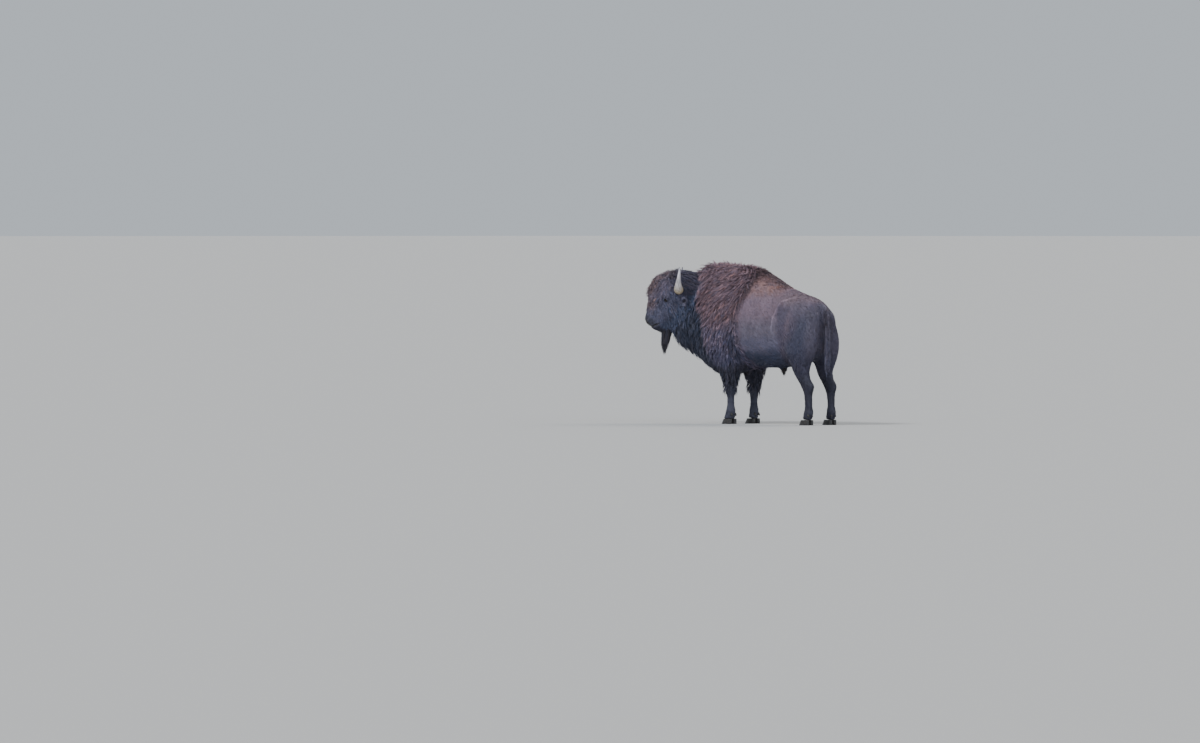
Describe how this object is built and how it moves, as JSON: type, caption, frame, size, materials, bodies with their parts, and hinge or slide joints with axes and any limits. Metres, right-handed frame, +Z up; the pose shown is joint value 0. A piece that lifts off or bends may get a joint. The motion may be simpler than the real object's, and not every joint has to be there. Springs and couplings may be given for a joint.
{
  "type": "bull bison, still life-size model",
  "caption": "Bull bison standing on four cloven hooves, head low and turned to its left, with a high hump, short upturned horns, beard and leg chaps; a still model.",
  "frame": {"origin": "on the floor, under the middle of the whole model's box", "axes": "the bison's body looks along -Y, its left side is +X, +Z is up"},
  "size_m": [0.8874, 2.4985, 1.852],
  "materials": {
    "dark_coat": "long dark woolly hair",
    "brown_coat": "brown hair, long in front and short behind",
    "horn": "satin keratin",
    "eye": "wet gloss",
    "hoof": "dull keratin"
  },
  "bodies": {
    "root": {"beard": "dark_coat", "ear_left": "dark_coat", "ear_right": "dark_coat", "eye_left": "eye", "eye_right": "eye", "fore_hoof_left_inner": "hoof", "fore_hoof_left_outer": "hoof", "fore_hoof_right_inner": "hoof", "fore_hoof_right_outer": "hoof", "fore_leg_left": "dark_coat", "fore_leg_right": "dark_coat", "head": "dark_coat", "hind_hoof_left_inner": "hoof", "hind_hoof_left_outer": "hoof", "hind_hoof_right_inner": "hoof", "hind_hoof_right_outer": "hoof", "hind_leg_left": "dark_coat", "hind_leg_right": "dark_coat", "horn_left": "horn", "horn_right": "horn", "neck": "brown_coat", "tail": "dark_coat", "trunk": "brown_coat"}
  },
  "joints": []
}
